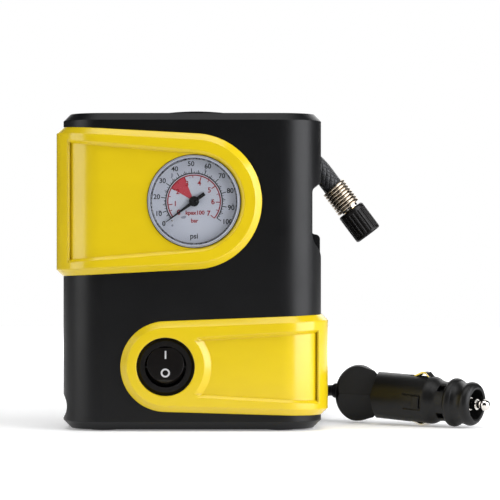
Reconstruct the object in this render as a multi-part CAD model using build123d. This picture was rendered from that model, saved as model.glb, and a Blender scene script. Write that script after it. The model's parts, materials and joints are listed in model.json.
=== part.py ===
from build123d import *
import os
from math import acos, atan2, cos, degrees, pi, radians, sin, tan

# Portable tire inflator. X runs to the right, -Y is the front, +Z is up, in millimetres.
# The origin is the middle of the object's footprint. Cords and what they carry are outside that box.

# Housing
FRONT_Y = -29.45
DEPTH = 64.0
BACK_Y = FRONT_Y + DEPTH
HALF_WIDTH = 56.0
BASE_Z = 0.6
TOP_Z = 136.4
WALL = 2.5
FRONT_RADIUS = 18.0
BACK_RADIUS = 5.0
TOP_CHAMFER = 3.0
BASE_CHAMFER = 3.4
SEAM_Y = FRONT_Y + 31.5
SEAM_GAP = 0.3
SCREW_PLACES = [(-29, 34), (13, 25), (-29, 104), (23, 104)]
FOOT_PLACES = [(-38, FRONT_Y + 14), (38, FRONT_Y + 14), (-38, BACK_Y - 12), (38, BACK_Y - 12)]
NOTCH_FLOOR_X = 52.0

# Yellow trims
TRIM_PROUD = 3.0
TRIM_FLOOR = 1.2
TRIM_BEVEL = 2.75
FLOOR_BEVEL = 1.2

# Gauge and switch
GAUGE = (1.15, 98.4)
GAUGE_R = 19.75
SWITCH = (-10.95, 27.75)
SWITCH_PIVOT_Y = FRONT_Y + 1.5
ROCKER_TILT = 15.0
ROCKER_FACE = 5.0

# Compressor
MECH_Y = FRONT_Y + 26.0
MOTOR_Z = 58.0
CRANK_Z = 34.0
CRANK_RADIUS = 8.0
GEAR_TEETH = 48
PINION_TEETH = 12
GEAR_MODULE = 0.8
CYLINDER_X = 36.0
BORE_R = 10.0

# Hose bay in the back, a channel round a raised island
BAY_DEPTH = 12.5
BAY_FLOOR_Y = BACK_Y - BAY_DEPTH
HOSE_D = 9.2
HOSE_Y = BAY_FLOOR_Y + 0.9 + HOSE_D / 2
LANE_HALF = 6.0
LANE_LEFT = -47.0
LANE_RIGHT = 42.5
LANE_LOW = 9.0
LANE_TOP = 128.5
LANE_R = 44.0
CHUCK_AXIS = Vector(0.599, 0, -0.8007)
CHUCK_START = Vector(70.4, HOSE_Y, 95.7)
FERRULE_LENGTH = 2.6

# Power cord, its coil and the 12 V plug
CORD_D = 5.0
GLAND = (-22.0, 26.0)
GLAND_DROOP = 30.0
COIL_CENTRE = (19.0, 90.0)
COIL_MID_R = 30.0
COIL_COLUMNS = 4
COIL_LAYERS = 4
COIL_LOW = 1.5
PLUG_REAR = Vector(65.4, FRONT_Y + 60.0, 13.8)
PLUG_YAW = 34.8
PLUG_DIP = 2.8


def box(x0, x1, y0, y1, z0, z1):
    """A block between two corners."""
    return Pos((x0 + x1) / 2, (y0 + y1) / 2, (z0 + z1) / 2) * Box(x1 - x0, y1 - y0, z1 - z0)


def rod_x(radius, x0, x1, y, z):
    return Pos((x0 + x1) / 2, y, z) * Rot(0, 90, 0) * Cylinder(radius, x1 - x0)


def rod_y(radius, y0, y1, x, z):
    return Pos(x, (y0 + y1) / 2, z) * Rot(90, 0, 0) * Cylinder(radius, y1 - y0)


def rod_z(radius, z0, z1, x, y):
    return Pos(x, y, (z0 + z1) / 2) * Cylinder(radius, z1 - z0)


def plate(sketch, y_front, y_back):
    """Extrude an X-Z outline between two depths."""
    return extrude(Plane.XZ.offset(-y_back) * sketch, y_back - y_front)


def group(*solids):
    """Several separate solids that share one node."""
    return Compound([solid for piece in solids for solid in piece.solids()])


def save(name, shape):
    export_step(shape, f"parts/{name}.step")


def body_prism(grow, z0, z1):
    """The housing's plan outline, grown by a distance, as an upright prism."""
    outline = Pos(0, (FRONT_Y + BACK_Y) / 2) * Rectangle(2 * (HALF_WIDTH + grow), DEPTH + 2 * grow)
    corners = outline.vertices().sort_by(Axis.Y)
    outline = fillet(corners[:2], FRONT_RADIUS + grow)
    rear = outline.vertices().sort_by(Axis.Y)[-2:]
    outline = fillet(rear, BACK_RADIUS + grow)
    return Pos(0, 0, z0) * extrude(outline, z1 - z0)


def tangent_outline(centre, radius, far_x, z_low, z_high):
    """A D-shaped outline: a round end, and straight edges tangent to it that run out to far_x."""
    cx, cz = centre
    touch = []
    for z, turn in ((z_high, 1), (z_low, -1)):
        reach = ((far_x - cx) ** 2 + (z - cz) ** 2) ** 0.5
        swing = acos(radius / reach) * turn * (1 if far_x > cx else -1)
        angle = atan2(z - cz, far_x - cx) + swing
        touch.append((cx + radius * cos(angle), cz + radius * sin(angle)))
    nose = (cx - radius if far_x > cx else cx + radius, cz)
    edges = [
        Line((far_x, z_low), (far_x, z_high)),
        Line((far_x, z_high), touch[0]),
        ThreePointArc(touch[0], nose, touch[1]),
        Line(touch[1], (far_x, z_low)),
    ]
    return make_face(Wire(edges))


def on_skin(edge, grow):
    """Whether an edge's middle lies on the housing's outline grown by a distance."""
    point = edge @ 0.5
    if point.Y > SEAM_Y - 0.01:
        return False
    corner_y = FRONT_Y + FRONT_RADIUS
    corner_x = HALF_WIDTH - FRONT_RADIUS
    if abs(point.X) > corner_x and point.Y < corner_y:
        reach = ((abs(point.X) - corner_x) ** 2 + (corner_y - point.Y) ** 2) ** 0.5
        return abs(reach - FRONT_RADIUS - grow) < 0.01
    front = abs(point.Y - (FRONT_Y - grow)) < 0.01
    side = abs(abs(point.X) - HALF_WIDTH - grow) < 0.01
    return front or side


def trim_skin(outline, low, high):
    """The layer between two distances off the housing, inside an outline seen from the front."""
    prism = plate(outline, FRONT_Y - 10, SEAM_Y)
    layer = body_prism(high, -5, 145) - body_prism(low, -6, 146)
    return prism & layer


def bevelled_trim(outer, floor):
    """A trim with a bevelled rim and a sunken floor that follows the housing's round corner."""
    trim = trim_skin(outer, 0, TRIM_PROUD)
    rim = [edge for edge in trim.edges() if on_skin(edge, TRIM_PROUD)]
    trim = chamfer(rim, TRIM_BEVEL)
    before = trim.edges()
    trim = trim - trim_skin(floor, TRIM_FLOOR, TRIM_PROUD + 1)
    known = [edge @ 0.5 for edge in before]
    crest = []
    for edge in trim.edges():
        fresh = all((edge @ 0.5 - point).length > 0.5 for point in known)
        if fresh and on_skin(edge, TRIM_PROUD):
            crest.append(edge)
    return chamfer(crest, FLOOR_BEVEL)


def housing_block():
    """The outside of the housing before it is split and hollowed."""
    block = body_prism(0, BASE_Z, TOP_Z)
    block = chamfer(block.edges().group_by(Axis.Z)[-1], TOP_CHAMFER)
    return chamfer(block.edges().group_by(Axis.Z)[0], BASE_CHAMFER)


def notch_cutter(z_low, z_high, ramp_low, ramp_high, y0, y1):
    """A shallow side notch whose two ends run out smoothly."""
    outer = HALF_WIDTH + 1
    middle = (HALF_WIDTH + NOTCH_FLOOR_X) / 2
    low, high = (middle, z_low + ramp_low / 2), (middle, z_high - ramp_high / 2)
    edges = [
        Line((outer, z_low), (HALF_WIDTH, z_low)),
        TangentArc((HALF_WIDTH, z_low), low, tangent=(0, 1)),
        TangentArc((NOTCH_FLOOR_X, z_low + ramp_low), low, tangent=(0, -1)),
        Line((NOTCH_FLOOR_X, z_low + ramp_low), (NOTCH_FLOOR_X, z_high - ramp_high)),
        TangentArc((NOTCH_FLOOR_X, z_high - ramp_high), high, tangent=(0, 1)),
        TangentArc((HALF_WIDTH, z_high), high, tangent=(0, -1)),
        Line((HALF_WIDTH, z_high), (outer, z_high)),
        Line((outer, z_high), (outer, z_low)),
    ]
    return plate(make_face(Wire(edges)), y0, y1)


def side_bite():
    """The shallow round groove low on the left side."""
    return rod_y(7.7, FRONT_Y - 1, BACK_Y + 1, -HALF_WIDTH - 5.7, 10.1)


def front_shell():
    shell = housing_block() & box(-70, 70, FRONT_Y - 1, SEAM_Y, -1, 150)
    cavity = body_prism(-WALL, BASE_Z + WALL, TOP_Z - WALL)
    pads = box(48.5, 54.5, FRONT_Y + 8, SEAM_Y, 71, 111) + box(-54.5, -50.5, FRONT_Y + 8, SEAM_Y, 2, 19)
    shell = shell - (cavity - pads)
    inner_y = FRONT_Y + WALL
    for x, z in SCREW_PLACES:
        boss = rod_y(2.9, inner_y - 0.5, SEAM_Y - 0.1, x, z) - rod_y(1.25, inner_y + 6, SEAM_Y, x, z)
        shell = shell + boss
    for x in (-12, 10):
        rib = box(x, x + 2, inner_y - 0.5, MECH_Y - 4, MOTOR_Z - 12, MOTOR_Z + 12)
        shell = shell + (rib - rod_x(14.0, x - 1, x + 3, MECH_Y, MOTOR_Z))
    shell = shell - notch_cutter(73.7, 108.6, 11, 6.4, FRONT_Y - 1, SEAM_Y + 1) - side_bite()
    shell = shell - rod_y(19.3, FRONT_Y - 1, inner_y + 1, *GAUGE)
    shell = shell - rod_y(10.1, FRONT_Y - 1, inner_y + 1, *SWITCH)
    return shell - top_cap_pocket(0)


def top_cap_pocket(gap):
    return box(1.9 - 13.5 + gap, 1.9 + 13.5 - gap, FRONT_Y + 9 + gap, FRONT_Y + 22 - gap, TOP_Z - 1.2, TOP_Z + 1)


def top_cap():
    """A low crowned cap let into the top face."""
    crown = ThreePointArc((-14.4, TOP_Z), (0, TOP_Z + 0.95), (14.4, TOP_Z))
    outline = Wire([crown, Line((14.4, TOP_Z), (-14.4, TOP_Z))])
    lid = plate(Pos(1.9, 0) * make_face(outline), FRONT_Y + 8.3, FRONT_Y + 22.7)
    stem = top_cap_pocket(0.15) & box(-20, 20, FRONT_Y, SEAM_Y, TOP_Z - 1.2, TOP_Z + 0.01)
    return stem + lid


def lane_outline(grow):
    """The hose lane's centre line, grown or shrunk, as a filled outline."""
    width = LANE_RIGHT - LANE_LEFT + 2 * grow
    height = LANE_TOP - LANE_LOW + 2 * grow
    middle = Pos((LANE_LEFT + LANE_RIGHT) / 2, (LANE_LOW + LANE_TOP) / 2)
    return middle * RectangleRounded(width, height, LANE_R + grow)


def hose_channel():
    """The open channel that holds one lap of hose, with its way out at the upper right."""
    ring = plate(lane_outline(LANE_HALF), BAY_FLOOR_Y, BACK_Y + 1) - plate(lane_outline(-LANE_HALF),
                                                                           BAY_FLOOR_Y - 1, BACK_Y + 2)
    way_out = [(-3, LANE_TOP - LANE_HALF), (-3, LANE_TOP + LANE_HALF), (40, LANE_TOP + LANE_HALF),
               (53, 130), (60, 122), (60, 102), (50, 108), (34, LANE_TOP - LANE_HALF)]
    slot = plate(make_face(Polyline(*way_out, close=True)), BAY_FLOOR_Y, BACK_Y + 1)
    return ring + slot


def rear_shell():
    floor_y = BAY_FLOOR_Y - 2
    shell = housing_block() & box(-70, 70, SEAM_Y + SEAM_GAP, BACK_Y + 1, -1, 150)
    cavity = body_prism(-WALL, BASE_Z + WALL, TOP_Z - WALL) & box(-70, 70, SEAM_Y, floor_y, -1, 150)
    pads = box(48.5, 54.5, SEAM_Y, floor_y + 1, 80, 111) + box(-54.5, -50.5, SEAM_Y, floor_y + 1, 2, 19)
    shell = shell - (cavity - pads) - hose_channel()
    shell = shell - plate(lane_outline(-LANE_HALF - 2), floor_y - 1, BACK_Y - WALL)
    for x, z in SCREW_PLACES:
        boss = rod_y(3.6, SEAM_Y + SEAM_GAP, BACK_Y - 1, x, z)
        shell = shell + boss - rod_y(1.7, SEAM_Y, BACK_Y + 1, x, z) - rod_y(3.0, BACK_Y - 6, BACK_Y + 1, x, z)
    for x0, x1, z0, z1 in ((-45, -40, 62, 72), (-9, 1, 11.5, 16), (-14, -4, 121.5, 126), (35.5, 40.5, 56, 66)):
        shell = shell + box(x0, x1, BACK_Y - 1.8, BACK_Y - 0.3, z0, z1)
    for step in range(7):
        z = 62 + 5 * step
        shell = shell - box(-18, 10, BACK_Y - WALL - 1, BACK_Y + 1, z, z + 2)
    shell = shell - notch_cutter(82.4, 108.6, 4.2, 6.4, SEAM_Y - 1, BACK_Y + 1) - side_bite()
    shell = shell - rod_y(3.9, floor_y - 1, BACK_Y, LANE_RIGHT, 94)
    return shell - rod_y(3.6, BACK_Y - 8, BACK_Y + 1, *GLAND)


def upper_trim():
    outer = tangent_outline(GAUGE, 29.1, -62, 66.0, 131.0)
    floor = tangent_outline(GAUGE, 20.45, -52.3, 73.4, 123.6)
    trim = bevelled_trim(outer, floor)
    return trim - rod_y(GAUGE_R + 0.3, FRONT_Y - 5, FRONT_Y + 1, *GAUGE)


def lower_floor_outline():
    """The sunken floor right of the switch: a round left end about the switch, and straight edges."""
    cx, cz = SWITCH
    radius = 19.4
    top, bottom = 11.4, -12.0
    left_top = (cx + (radius ** 2 - top ** 2) ** 0.5, cz + top)
    left_bottom = (cx + (radius ** 2 - bottom ** 2) ** 0.5, cz + bottom)
    edges = [
        Line((54.0, 12.8), (54.0, 42.1)),
        Line((54.0, 42.1), left_top),
        ThreePointArc(left_top, (cx + radius, cz), left_bottom),
        Line(left_bottom, (54.0, 12.8)),
    ]
    return make_face(Wire(edges))


def crescent_cutter():
    """Widens the step beside the switch into a sloping crescent."""
    x, z = SWITCH
    crest_y, floor_y = FRONT_Y - TRIM_PROUD, FRONT_Y - TRIM_FLOOR
    block = box(x + 10, x + 19.6, crest_y - 1, floor_y, z - 11.7, z + 11.1)
    height = floor_y - crest_y + 1
    flare = 3.0 / (floor_y - crest_y)
    cone = Cone(19.6, 19.6 - flare * height, height)
    return block - Pos(x, (crest_y - 1 + floor_y) / 2, z) * Rot(90, 0, 0) * cone


def lower_trim():
    outer = tangent_outline(SWITCH, 19.4, 62, 6.2, 50.0)
    trim = bevelled_trim(outer, lower_floor_outline()) - crescent_cutter()
    return trim - rod_y(12.5, FRONT_Y - 5, FRONT_Y + 1, *SWITCH)


def rubber_feet():
    return group(*[rod_z(6.0, 0, BASE_Z, x, y) for x, y in FOOT_PLACES])


def screw_y(x, z, y_head, length):
    """A pan-head screw whose head faces the back."""
    head = rod_y(2.7, y_head - 2.0, y_head, x, z)
    shank = rod_y(1.2, y_head - 2 - length, y_head - 1.9, x, z)
    slots = box(x - 1.6, x + 1.6, y_head - 0.9, y_head + 1, z - 0.3, z + 0.3)
    cross = box(x - 0.3, x + 0.3, y_head - 0.9, y_head + 1, z - 1.6, z + 1.6)
    return head + shank - slots - cross


def housing_screws():
    return group(*[screw_y(x, z, BACK_Y - 4, BACK_Y - SEAM_Y + 10) for x, z in SCREW_PLACES])


def gauge_case():
    """The gauge's cup, with its barb at the back."""
    cup = rod_y(18.9, FRONT_Y - 0.8, FRONT_Y + 16, *GAUGE) - rod_y(18.0, FRONT_Y - 1, FRONT_Y + 15, *GAUGE)
    barb = rod_y(2.6, FRONT_Y + 15.5, FRONT_Y + 21, *GAUGE)
    return cup + barb


def gauge_lens():
    """The clear cap over the dial, bevelled at its edge."""
    cap = rod_y(GAUGE_R, FRONT_Y - 2.4, FRONT_Y - 0.05, *GAUGE)
    cap = chamfer(cap.edges().sort_by(Axis.Y)[0], 0.7)
    return cap - rod_y(19.05, FRONT_Y - 1.0, FRONT_Y + 1, *GAUGE)


def gauge_dial():
    return rod_y(17.9, FRONT_Y + 1.2, FRONT_Y + 1.8, *GAUGE) - rod_y(0.6, FRONT_Y, FRONT_Y + 3, *GAUGE)


def dial_point(radius, angle):
    """A point on the dial, by radius and angle from +X towards +Z."""
    return GAUGE[0] + radius * cos(radians(angle)), GAUGE[1] + radius * sin(radians(angle))


def gauge_stop():
    return rod_y(0.35, FRONT_Y + 0.2, FRONT_Y + 1.2, *dial_point(12.5, 221.5))


def gauge_needle():
    """The pointer at zero, with its hub, counterweight tail and arbor."""
    tip, tail = 14.8, 5.6
    blade = [(-tail, -0.8), (-tail, 0.8), (0, 0.75), (tip, 0.12), (tip, -0.12), (0, -0.75)]
    pointer = make_face(Polyline(*blade, close=True))
    pointer = Pos(*GAUGE) * Rot(0, 0, 216.5) * pointer
    needle = plate(pointer, FRONT_Y + 0.2, FRONT_Y + 0.65) + rod_y(2.2, FRONT_Y - 0.3, FRONT_Y + 0.75, *GAUGE)
    return needle + rod_y(0.5, FRONT_Y + 0.7, FRONT_Y + 9, *GAUGE)


def bourdon_tube():
    """The curved pressure tube behind the dial, joined to the barb at the back of the cup."""
    ring = Pos(GAUGE[0], FRONT_Y + 6, GAUGE[1]) * Rot(90, 0, 0) * Torus(13.5, 1.6, major_angle=270)
    stem = rod_y(1.6, FRONT_Y + 6, FRONT_Y + 14.95, *dial_point(13.5, 0))
    return ring + stem


def switch_body():
    x, z = SWITCH
    body = rod_y(9.9, FRONT_Y, FRONT_Y + 19, x, z)
    flange = rod_y(11.8, FRONT_Y - 1.5, FRONT_Y, x, z)
    flange = chamfer(flange.edges().sort_by(Axis.Y)[0], 0.8)
    body = body + flange - rod_y(8.8, FRONT_Y - 2, FRONT_Y + 12, x, z)
    return body - rod_x(1.06, x - 9.5, x + 9.5, SWITCH_PIVOT_Y, z)


def switch_rocker():
    """A round rocker that tips about X, drawn upright and then tipped to its rest position."""
    barrel = rod_y(7.8, -ROCKER_FACE, 3.0, 0, 0)
    rocker = barrel & rod_x(8.5, -9, 9, 0, 0)
    dish = rod_x(60.0, -9, 9, -ROCKER_FACE - 59.6, 0)
    rocker = rocker - dish + rod_x(1.0, -9.3, 9.3, 0, 0)
    return Pos(SWITCH[0], SWITCH_PIVOT_Y, SWITCH[1]) * Rot(-ROCKER_TILT, 0, 0) * rocker


def switch_terminals():
    x, z = SWITCH
    y0 = FRONT_Y + 19
    return group(*[box(x - 2.4, x + 2.4, y0, y0 + 7, z + dz - 0.4, z + dz + 0.4) for dz in (-5, 0, 5)])


def motor_can():
    can = rod_x(13.85, -19, 19, MECH_Y, MOTOR_Z) + rod_x(4.5, 19, 22.8, MECH_Y, MOTOR_Z)
    can = can - rod_x(12.9, -20, 17.5, MECH_Y, MOTOR_Z) - rod_x(1.2, 16, 23, MECH_Y, MOTOR_Z)
    for side in (-1, 1):
        can = can - rod_x(1.1, 16, 20, MECH_Y + side * 8, MOTOR_Z)
    return can


def motor_end_cap():
    cap = rod_x(13.85, -21.5, -19, MECH_Y, MOTOR_Z) + rod_x(4.0, -24.5, -21, MECH_Y, MOTOR_Z)
    return cap - rod_x(1.2, -23.5, -18, MECH_Y, MOTOR_Z)


def motor_magnets():
    ring = rod_x(12.85, -13, 13, MECH_Y, MOTOR_Z) - rod_x(10.6, -14, 14, MECH_Y, MOTOR_Z)
    gap = box(-14, 14, MECH_Y - 14, MECH_Y + 14, MOTOR_Z - 3, MOTOR_Z + 3)
    return group(ring - gap)


def motor_armature():
    """The rotor core with its winding slots, the commutator and the shaft."""
    core = rod_x(10.1, -11, 11, MECH_Y, MOTOR_Z)
    for step in range(5):
        slot = box(-12, 12, MECH_Y - 0.8, MECH_Y + 0.8, MOTOR_Z + 5, MOTOR_Z + 11)
        core = core - slot.rotate(Axis((0, MECH_Y, MOTOR_Z), (1, 0, 0)), 72 * step)
    commutator = rod_x(4.0, -16, -11, MECH_Y, MOTOR_Z)
    return core + commutator + rod_x(1.15, -23, 31.6, MECH_Y, MOTOR_Z)


def gear_face(teeth, bore):
    """A spur gear outline with straight-sided teeth that leave backlash; one tooth points along +X."""
    pitch_r = teeth * GEAR_MODULE / 2
    step = 2 * pi / teeth
    root, tip = pitch_r - 1.1, pitch_r + 0.72
    points = []
    for index in range(teeth):
        for offset, radius in ((-0.29, root), (-0.1, tip), (0.1, tip), (0.29, root)):
            angle = (index + offset) * step
            points.append((radius * cos(angle), radius * sin(angle)))
    return make_face(Polyline(*points, close=True)) - Circle(bore)


def gear_solid(face, turn, z):
    """Stand a gear outline in the Y-Z plane with its first tooth at an angle from +Y towards +Z."""
    plane = Plane(origin=(25, MECH_Y, z), x_dir=(0, 1, 0), z_dir=(1, 0, 0))
    return extrude(plane * (Rot(0, 0, turn) * face), 6)


def crank_gear():
    """The large gear; a gap between teeth faces the pinion."""
    gear = gear_solid(gear_face(GEAR_TEETH, 2.06), 90 + 180 / GEAR_TEETH, CRANK_Z)
    for step in range(5):
        hole = rod_x(3.4, 24, 32, MECH_Y, CRANK_Z + 11)
        gear = gear - hole.rotate(Axis((0, MECH_Y, CRANK_Z), (1, 0, 0)), 72 * step + 36)
    return gear


def motor_pinion():
    return gear_solid(gear_face(PINION_TEETH, 1.15), -90, MOTOR_Z)


def frame_plate():
    """The plate that carries the motor, the crank gear and the cylinder."""
    body = box(21, 23, MECH_Y - 14, MECH_Y + 14, CRANK_Z - 14, 89)
    body = body - rod_x(4.6, 20, 24, MECH_Y, MOTOR_Z) + rod_x(4.5, 23, 24.7, MECH_Y, CRANK_Z)
    for side in (-1, 1):
        body = body - rod_x(1.3, 20, 24, MECH_Y + side * 8, MOTOR_Z)
        body = body - rod_x(4.0, 20, 24, MECH_Y + side * 7, CRANK_Z + 42)
    return body - rod_x(2.0, 20, 25, MECH_Y, CRANK_Z)


def gear_axle():
    return rod_x(2.0, 21, 31.2, MECH_Y, CRANK_Z)


def motor_screws():
    """Two screws through the plate into the end of the motor can."""
    screws = []
    for side in (-1, 1):
        y = MECH_Y + side * 8
        screws.append(rod_x(1.05, 17.6, 23, y, MOTOR_Z) + rod_x(2.0, 23, 24.3, y, MOTOR_Z))
    return group(*screws)


def piston_rod():
    """Rod and piston in one piece, at the bottom of the stroke."""
    pin_z = CRANK_Z - CRANK_RADIUS
    rod = rod_x(5.0, 33, 39, MECH_Y, pin_z) - rod_x(2.0, 32, 40, MECH_Y, pin_z)
    rod = rod + box(34, 38, MECH_Y - 2.5, MECH_Y + 2.5, pin_z + 4, 67)
    crown = rod_z(9.3, 66, 70, CYLINDER_X, MECH_Y) + rod_z(3.0, 69.9, 71.3, CYLINDER_X, MECH_Y)
    return rod + crown + rod_z(7.5, 71.2, 72.4, CYLINDER_X, MECH_Y)


def cup_seal():
    return rod_z(BORE_R - 0.05, 70, 71.2, CYLINDER_X, MECH_Y) - rod_z(3.0, 69, 72, CYLINDER_X, MECH_Y)


def crank_pin():
    return rod_x(2.0, 31.6, 39, MECH_Y, CRANK_Z - CRANK_RADIUS)


def cylinder():
    barrel = rod_z(12.0, 65, 89, CYLINDER_X, MECH_Y)
    for step in range(3):
        z = 68 + 5 * step
        groove = rod_z(14, z, z + 2.2, CYLINDER_X, MECH_Y) - rod_z(11.2, z - 1, z + 4, CYLINDER_X, MECH_Y)
        barrel = barrel - groove
    barrel = barrel + box(24, 48, MECH_Y - 12, MECH_Y + 12, 86, 89)
    foot = box(23, 25, MECH_Y - 9, MECH_Y + 9, 82, 89)
    return barrel + foot - rod_z(BORE_R, 60, 90, CYLINDER_X, MECH_Y) - corner_holes(1.0, 85, 89.5)


def corner_holes(radius, z0, z1):
    """Rods at the four corners of the cylinder's square flange."""
    places = [(CYLINDER_X + sx * 10, MECH_Y + sy * 10) for sx in (-1, 1) for sy in (-1, 1)]
    return group(*[rod_z(radius, z0, z1, x, y) for x, y in places])


def head_gasket():
    sheet = box(24, 48, MECH_Y - 12, MECH_Y + 12, 89, 89.6)
    return sheet - rod_z(9.0, 88, 90, CYLINDER_X, MECH_Y) - corner_holes(1.1, 88, 90)


def cylinder_head():
    """The head block: an outlet boss at the back, a gauge port at the left and a valve seat."""
    head = box(24, 48, MECH_Y - 12, MECH_Y + 12, 89.6, 99)
    for step in range(4):
        x = 27.2 + 5.4 * step
        head = head - box(x, x + 2.2, MECH_Y - 13, MECH_Y + 13, 96.8, 100)
    head = head + rod_y(4.3, MECH_Y + 11, MECH_Y + 16, LANE_RIGHT, 94) + rod_x(2.0, 19, 25, MECH_Y, 94)
    head = head - rod_z(4.6, 91.2, 95.5, CYLINDER_X, MECH_Y) - rod_z(1.2, 89, 92, CYLINDER_X, MECH_Y)
    return head - corner_holes(1.1, 89, 99.5)


def head_screws():
    screws = []
    for sx in (-1, 1):
        for sy in (-1, 1):
            x, y = CYLINDER_X + sx * 10, MECH_Y + sy * 10
            screws.append(rod_z(0.95, 87, 99, x, y) + rod_z(1.8, 99, 100.6, x, y))
    return group(*screws)


def outlet_valve():
    return rod_z(3.2, 91.2, 92.0, CYLINDER_X, MECH_Y)


def spring_stack(radius, wire, z0, z1, turns):
    """A compression spring drawn as a closed helix-like stack of rings about Z."""
    step = (z1 - z0 - 2 * wire) / (turns - 1)
    return group(*[Pos(0, 0, z0 + wire + index * step) * Torus(radius, wire) for index in range(turns)])


def valve_spring():
    return Pos(CYLINDER_X, MECH_Y, 0) * spring_stack(2.4, 0.25, 92.05, 95.4, 5)


def outlet_elbow():
    """The brass elbow that brings the air out into the hose channel and turns it down."""
    elbow = rod_y(3.5, MECH_Y + 16, HOSE_Y + 3.4, LANE_RIGHT, 94)
    return elbow + rod_z(3.4, 88, 97.4, LANE_RIGHT, HOSE_Y)


def route_radii(points):
    """Bend radii for a route: 0.45 of the shorter run, divided by the tangent of half the turn."""
    radii = []
    for before, here, after in zip(points, points[1:], points[2:]):
        first, second = here - before, after - here
        turn = radians(first.get_angle(second))
        radii.append(0.45 * min(first.length, second.length) / tan(turn / 2))
    return radii


def swept_tube(name, points, diameter):
    """A round tube along straight runs joined by tangent arcs."""
    points = [Vector(*point) for point in points]
    radii = route_radii(points)
    path = FilletPolyline(*points, radius=radii)
    section = Plane(origin=path @ 0, z_dir=path % 0) * Circle(diameter / 2)
    tube = sweep(section, path=path)
    expected = path.length * pi * diameter ** 2 / 4
    print(f"{name}: length {path.length:.1f}, least radius {min(radii):.1f}, "
          f"radii {[round(radius) for radius in radii]}, volume ratio {tube.volume / expected:.4f}")
    return tube


def gauge_tube():
    x, z = GAUGE
    points = [(19, MECH_Y, 94), (12.5, MECH_Y, 94), (4.4, MECH_Y + 0.6, 97.4), (x, FRONT_Y + 25.4, z),
              (x, FRONT_Y + 21, z)]
    return swept_tube("gauge_tube", points, 3.6)


def wiring():
    """Leads from the cord gland to the switch, from the switch to the motor and back to the gland."""
    x, z = SWITCH
    y0 = FRONT_Y + 26.3
    gland_x, gland_z = GLAND
    supply = [(gland_x - 1.5, BACK_Y - 6.4, gland_z), (gland_x - 1, y0 + 12, gland_z - 2), (x - 2, y0 + 5, z - 5.5),
              (x, y0, z - 5)]
    feed = [(x, y0, z + 5), (x - 1, y0 + 5, z + 8), (-25.5, MECH_Y + 6, 43.5), (-25.5, MECH_Y + 7, MOTOR_Z - 5)]
    back = [(-25.5, MECH_Y + 8, MOTOR_Z + 5), (-26.5, MECH_Y + 13, MOTOR_Z - 2), (gland_x - 3, y0 + 20, gland_z + 12),
            (gland_x + 1.5, BACK_Y - 6.4, gland_z + 0.5)]
    runs = (("supply_lead", supply), ("feed_lead", feed), ("return_lead", back))
    return group(*[swept_tube(name, run, 1.8) for name, run in runs])


def gland_plane():
    """At the back face, its normal along the strain relief."""
    drop = radians(GLAND_DROOP)
    return Plane(origin=(GLAND[0], BACK_Y, GLAND[1]), x_dir=(1, 0, 0), z_dir=(0, cos(drop), -sin(drop)))


def cord_gland():
    """The strain relief: a flange on the back face, a stem through it and a ribbed taper."""
    x, z = GLAND
    plane = gland_plane()
    taper = plane * Pos(0, 0, 11) * Cone(4.4, 3.1, 24)
    for step in range(5):
        ring = Cylinder(6, 1.1) - Cylinder(3.35 - 0.12 * step, 2)
        taper = taper - plane * Pos(0, 0, 6.5 + 3.2 * step) * ring
    taper = taper & box(x - 10, x + 10, BACK_Y + 0.2, BACK_Y + 40, -5, 50)
    flange = rod_y(5.4, BACK_Y, BACK_Y + 1.6, x, z)
    return flange + taper + rod_y(3.5, BACK_Y - 5.5, BACK_Y + 0.5, x, z)


def hose_route():
    """One clockwise lap from the elbow to the way out, then straight to the ferrule."""
    half = LANE_R * tan(radians(22.5))
    left, right = LANE_LEFT + LANE_R, LANE_RIGHT - LANE_R
    low, high = LANE_LOW + LANE_R, LANE_TOP - LANE_R
    end = CHUCK_START - CHUCK_AXIS * FERRULE_LENGTH
    aim = CHUCK_START - CHUCK_AXIS * 13.5
    places = [(LANE_RIGHT, 88), (LANE_RIGHT, 68), (LANE_RIGHT - 0.5, low - half), (right + half, LANE_LOW),
              (left - half, LANE_LOW), (LANE_LEFT, low - half), (LANE_LEFT, high + half), (left - half, LANE_TOP),
              (12, LANE_TOP + 0.4), (32.5, 127.9), (44.4, 124.1), (55.0, 116.4), (aim.X, aim.Z), (end.X, end.Z)]
    return [(x, HOSE_Y, z) for x, z in places]


def chuck_plane():
    return Plane(origin=CHUCK_START, x_dir=(0, 1, 0), z_dir=CHUCK_AXIS)


def hose_spring():
    """The spring round the end of the hose, as its plain outer sleeve."""
    sleeve = Cylinder(5.85, 11.2) - Cylinder(4.7, 12)
    return chuck_plane() * Pos(0, 0, -8.4) * sleeve


def hose_ferrule():
    return chuck_plane() * Pos(0, 0, -1.45) * (Cylinder(4.4, 2.3) - Cylinder(3.05, 3))


def chuck_core():
    """The swivelling brass stem and its head."""
    return chuck_plane() * (Pos(0, 0, 0.45) * Cylinder(3.05, 6.1) + Pos(0, 0, 4.3) * Cylinder(4.3, 1.6))


def chuck_knob():
    """The ribbed knob that turns on the stem and threads onto a tyre valve."""
    knob = Pos(0, 0, 6.95) * Cylinder(6.35, 13.9)
    knob = chamfer(knob.edges().filter_by(GeomType.CIRCLE), 0.6)
    for step in range(20):
        knob = knob - Rot(0, 0, 18 * step) * Pos(6.6, 0, 7.2) * Cylinder(0.62, 10.5)
    knob = knob - Pos(0, 0, 1.6) * Cylinder(3.1, 3.4) - Pos(0, 0, 4.3) * Cylinder(4.6, 2.2)
    knob = knob - Pos(0, 0, 6.1) * Cylinder(4.3, 1.6) - Pos(0, 0, 10.5) * Cylinder(3.95, 7.2)
    return chuck_plane() * knob


def chuck_seal():
    return chuck_plane() * Pos(0, 0, 6.0) * (Cylinder(4.3, 1.4) - Cylinder(1.4, 3))


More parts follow.
